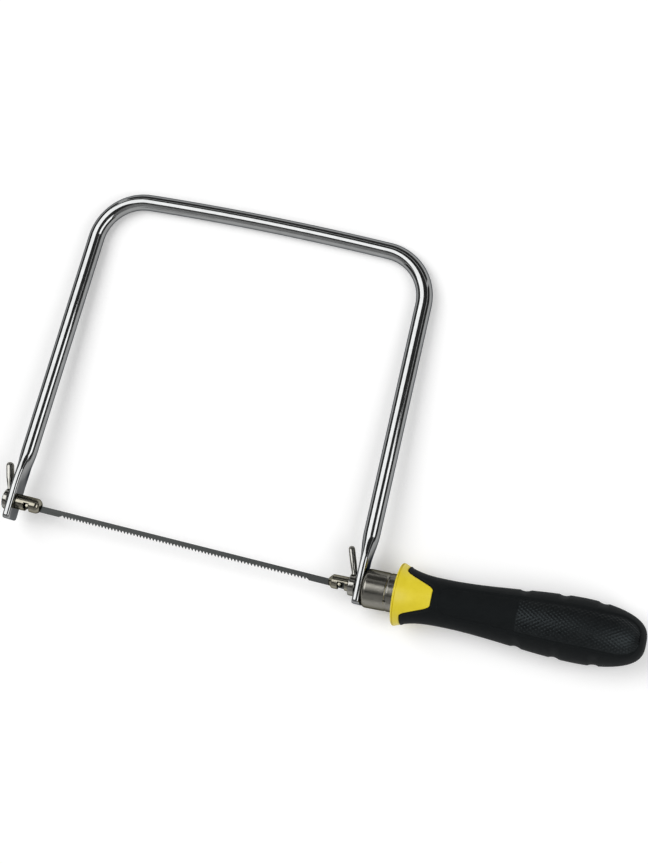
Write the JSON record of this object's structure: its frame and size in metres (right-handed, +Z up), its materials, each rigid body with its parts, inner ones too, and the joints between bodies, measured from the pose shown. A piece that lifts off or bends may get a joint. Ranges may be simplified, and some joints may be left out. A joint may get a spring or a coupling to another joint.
{
  "type": "coping saw",
  "caption": "Coping saw with a bent rod bow, a pinned blade between two turning spigots, and a two-tone moulded handle that screws up to tension the blade.",
  "frame": {"origin": "middle of the saw's plan, on the surface that it lies on", "axes": "+X along the blade towards the handle, +Y from the blade towards the top bar, +Z up from the surface that the saw lies on"},
  "size_m": [0.323, 0.1802, 0.0297],
  "materials": {
    "chromed_rod": "bright chrome plate on steel rod",
    "nickel": "satin nickel plate",
    "blade_steel": "rolled and tempered, plain",
    "yellow_plastic": "moulded, semi-gloss",
    "black_rubber": "soft moulding, satin, with a fine texture near the butt"
  },
  "bodies": {
    "frame": {"bow_frame": "chromed_rod"},
    "front_holder": {"front_spigot": "nickel", "front_lever": "nickel"},
    "blade": {"saw_blade": "blade_steel", "front_blade_pin": "blade_steel", "rear_blade_pin": "blade_steel"},
    "rear_turner": {"rear_lever": "nickel"},
    "rear_holder": {"rear_spigot": "nickel"},
    "handle": {"ferrule": "nickel", "tension_nut": "nickel", "handle_core": "yellow_plastic", "soft_grip": "black_rubber"}
  },
  "joints": [
    {"name": "front_spigot_turn", "type": "hinge", "parent": "frame", "child": "front_holder", "pos_m": [-0.14296, -0.07662, 0.01467], "axis": [1, 0, 0.0014], "continuous": true},
    {"name": "blade_unhook", "type": "slide", "parent": "front_holder", "child": "blade", "axis": [0, -0.9978, 0.066], "range_m": [0, 0.015]},
    {"name": "rear_spigot_turn", "type": "hinge", "parent": "frame", "child": "rear_turner", "pos_m": [0.01904, -0.07661, 0.0149], "axis": [0.9988, 0.0479, -0.0018], "continuous": true},
    {"name": "rear_spigot_draw", "type": "slide", "parent": "rear_turner", "child": "rear_holder", "axis": [-0.9988, -0.0479, 0.0018], "range_m": [0, 0.0012]},
    {"name": "handle_turn", "type": "hinge", "parent": "frame", "child": "handle", "pos_m": [0.01904, -0.07661, 0.0149], "axis": [0.9988, 0.0479, -0.0018], "range_deg": [0, 540]}
  ],
  "couplings": [
    {"joint": "rear_spigot_turn", "follows": "front_spigot_turn", "ratio": 1},
    {"joint": "rear_spigot_draw", "follows": "handle_turn", "m_per_rad": 0.00012732}
  ]
}
